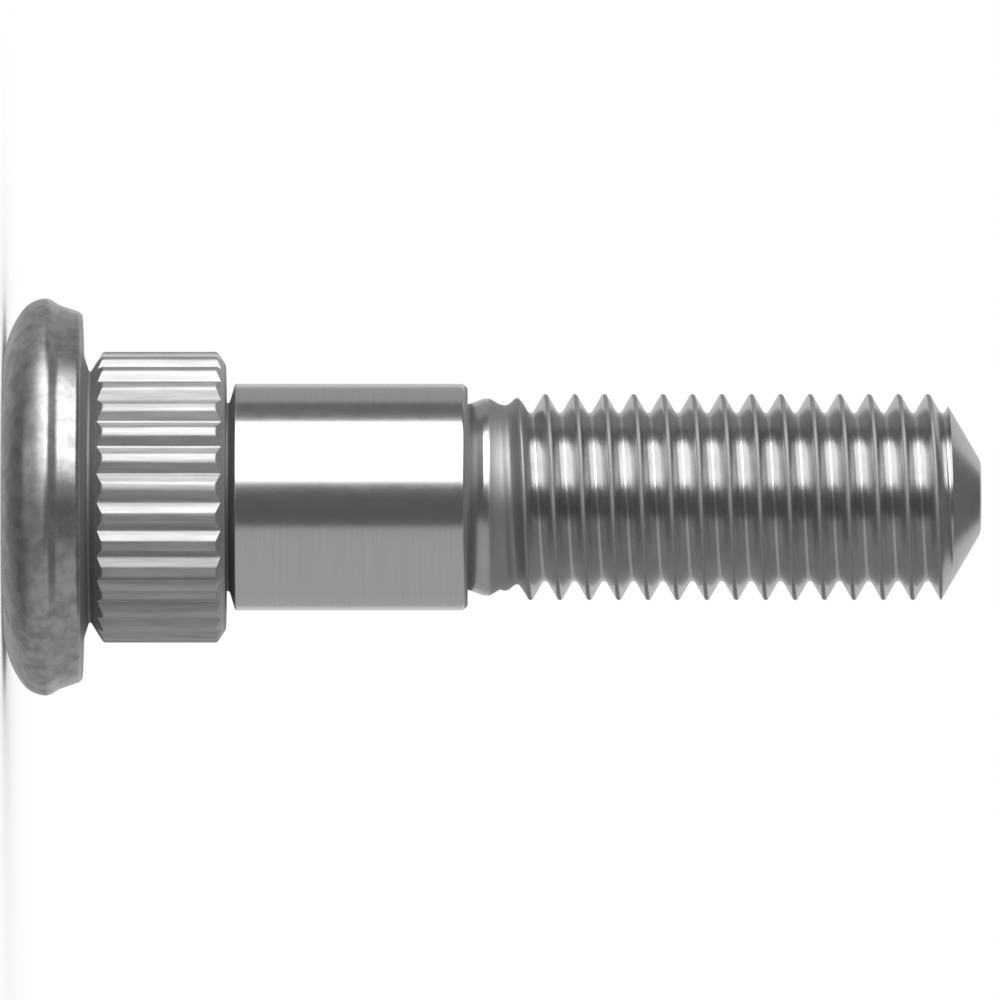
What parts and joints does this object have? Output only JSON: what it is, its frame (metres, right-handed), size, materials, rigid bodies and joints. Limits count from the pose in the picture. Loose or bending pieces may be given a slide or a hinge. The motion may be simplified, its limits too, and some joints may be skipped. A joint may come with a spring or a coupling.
{
  "type": "wheel stud bolt",
  "caption": "Headed press-in wheel stud: round head, serrated band that bites into a hub, plain shank and a right-hand coarse thread with a cone point for a wheel nut.",
  "frame": {"origin": "middle of the head's flat outer face, on which the stud stands", "axes": "+Z along the stud's axis, from the head towards the thread's point; X and Y are across it"},
  "size_m": [0.027, 0.027, 0.0664],
  "materials": {
    "bright_steel": "bright rolled and turned steel, duller and mottled on the forged head"
  },
  "bodies": {
    "root": {"stud_bolt": "bright_steel"}
  },
  "joints": []
}
